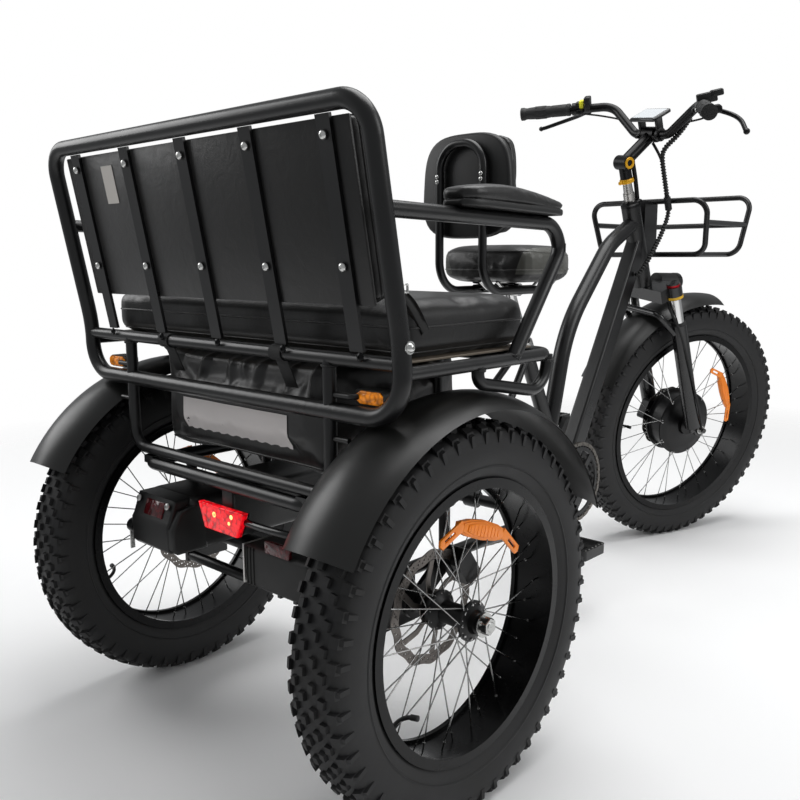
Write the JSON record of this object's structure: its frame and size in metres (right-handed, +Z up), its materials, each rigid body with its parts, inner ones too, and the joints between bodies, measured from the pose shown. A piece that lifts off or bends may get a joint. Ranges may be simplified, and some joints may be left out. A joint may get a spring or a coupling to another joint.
{
  "type": "electric tricycle",
  "caption": "Fat-tyre electric passenger tricycle with a rear bench, step-through frame, saddle with backrest, front basket and suspension fork.",
  "frame": {"origin": "on the floor under the middle of the overall box", "axes": "+X to the rider's right, +Y towards the front wheel, +Z up"},
  "size_m": [0.832, 2.0428, 1.2131],
  "materials": {
    "frame_black": "satin powder coat",
    "tyre_black": "matte",
    "rim_black": "black anodised, satin",
    "hub_black": "black anodised with bright spokes",
    "rotor_steel": "ground",
    "vinyl_black": "smooth vinyl, satin",
    "bag_vinyl": "coated cloth, semi gloss",
    "plastic_black": "moulded, matte",
    "plastic_gloss": "moulded, gloss",
    "lens_red": "lens",
    "lens_orange": "lens",
    "case_alloy": "bead blasted, dark",
    "chain_steel": "oiled",
    "rubber_black": "matte",
    "fork_metal": "gloss enamel",
    "stem_black": "anodised, satin",
    "post_metal": "satin",
    "display_face": "screen"
  },
  "bodies": {
    "frame": {"main_frame": "frame_black", "rear_chassis": "frame_black", "axle_housing": "frame_black", "bench_frame": "frame_black", "backrest_slats": "frame_black", "bench_backrest": "vinyl_black", "bench_cushion": "vinyl_black", "armrest_pads": "vinyl_black", "cargo_bag": "bag_vinyl", "rear_fenders": "plastic_black", "tail_lamp": "lens_red", "turn_signals": "lens_orange", "battery_case": "plastic_gloss", "controller_box": "case_alloy", "rear_calipers": "case_alloy", "seat_post": "post_metal", "saddle": "vinyl_black", "backrest_tubes": "frame_black", "saddle_backrest": "vinyl_black", "basket": "frame_black", "chain": "chain_steel", "frame_loom": "rubber_black"},
    "steering": {"fork_crown": "fork_metal", "fork_lowers": "fork_metal", "stem": "stem_black", "handlebar": "frame_black", "grips": "rubber_black", "bar_controls": "plastic_black", "display": "display_face", "headlamp": "plastic_gloss", "front_fender": "plastic_black", "front_caliper": "case_alloy", "bar_loom": "rubber_black"},
    "front_wheel": {"front_tyre": "tyre_black", "front_rim": "rim_black", "front_hub": "hub_black", "front_rotor": "rotor_steel"},
    "rear_wheel_left": {"left_tyre": "tyre_black", "left_rim": "rim_black", "left_hub": "hub_black", "left_rotor": "rotor_steel"},
    "rear_wheel_right": {"right_tyre": "tyre_black", "right_rim": "rim_black", "right_hub": "hub_black", "right_rotor": "rotor_steel"},
    "crank": {"crankset": "stem_black"},
    "pedal_left": {"pedal_left": "plastic_black"},
    "pedal_right": {"pedal_right": "plastic_black"}
  },
  "joints": [
    {"name": "steering", "type": "hinge", "parent": "frame", "child": "steering", "pos_m": [0, 0.40317, 0.934], "axis": [0, -0.3746, 0.9272], "range_deg": [-24.4, 65.6]},
    {"name": "front_wheel_spin", "type": "hinge", "parent": "steering", "child": "front_wheel", "pos_m": [0.01759, 0.69459, 0.33764], "axis": [0.9361, -0.3262, -0.1318], "continuous": true},
    {"name": "rear_wheel_left_spin", "type": "hinge", "parent": "frame", "child": "rear_wheel_left", "pos_m": [-0.3515, -0.73044, 0.291], "axis": [1, 0, 0], "continuous": true},
    {"name": "rear_wheel_right_spin", "type": "hinge", "parent": "frame", "child": "rear_wheel_right", "pos_m": [0.3515, -0.73044, 0.291], "axis": [1, 0, 0], "continuous": true},
    {"name": "crank_spin", "type": "hinge", "parent": "frame", "child": "crank", "pos_m": [0, 0.11156, 0.273], "axis": [1, 0, 0], "continuous": true},
    {"name": "pedal_left_spin", "type": "hinge", "parent": "crank", "child": "pedal_left", "pos_m": [-0.118, 0.22472, 0.39308], "axis": [1, 0, 0], "continuous": true},
    {"name": "pedal_right_spin", "type": "hinge", "parent": "crank", "child": "pedal_right", "pos_m": [0.118, -0.0016, 0.15292], "axis": [1, 0, 0], "continuous": true}
  ]
}
